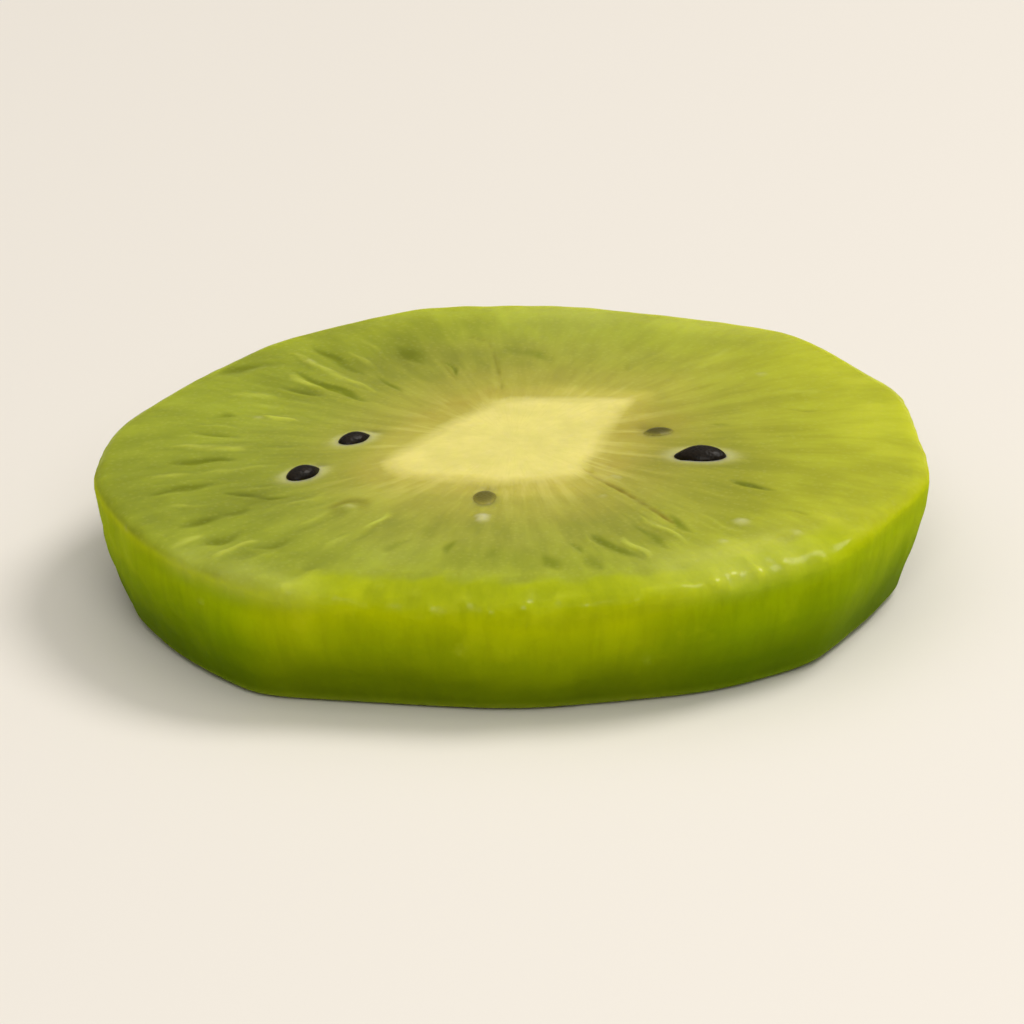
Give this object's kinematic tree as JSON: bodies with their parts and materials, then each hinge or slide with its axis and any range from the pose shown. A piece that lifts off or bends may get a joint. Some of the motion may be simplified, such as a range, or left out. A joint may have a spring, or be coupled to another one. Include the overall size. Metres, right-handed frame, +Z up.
{
  "type": "kiwi slice",
  "caption": "Round, flat slice of peeled kiwi fruit with faceted, tapering sides, a raised core, radial ridges and seeds standing out of the upper cut face.",
  "frame": {"origin": "middle of the slice's box, on the lower cut face that it lies on", "axes": "+Z up, out of the upper cut face, +X along the slice's longest way across, +Y away from the camera of the picture"},
  "size_m": [0.0504, 0.0478, 0.0092],
  "materials": {
    "kiwi_flesh": "wet"
  },
  "bodies": {
    "root": {"kiwi_slice": "kiwi_flesh"}
  },
  "joints": []
}
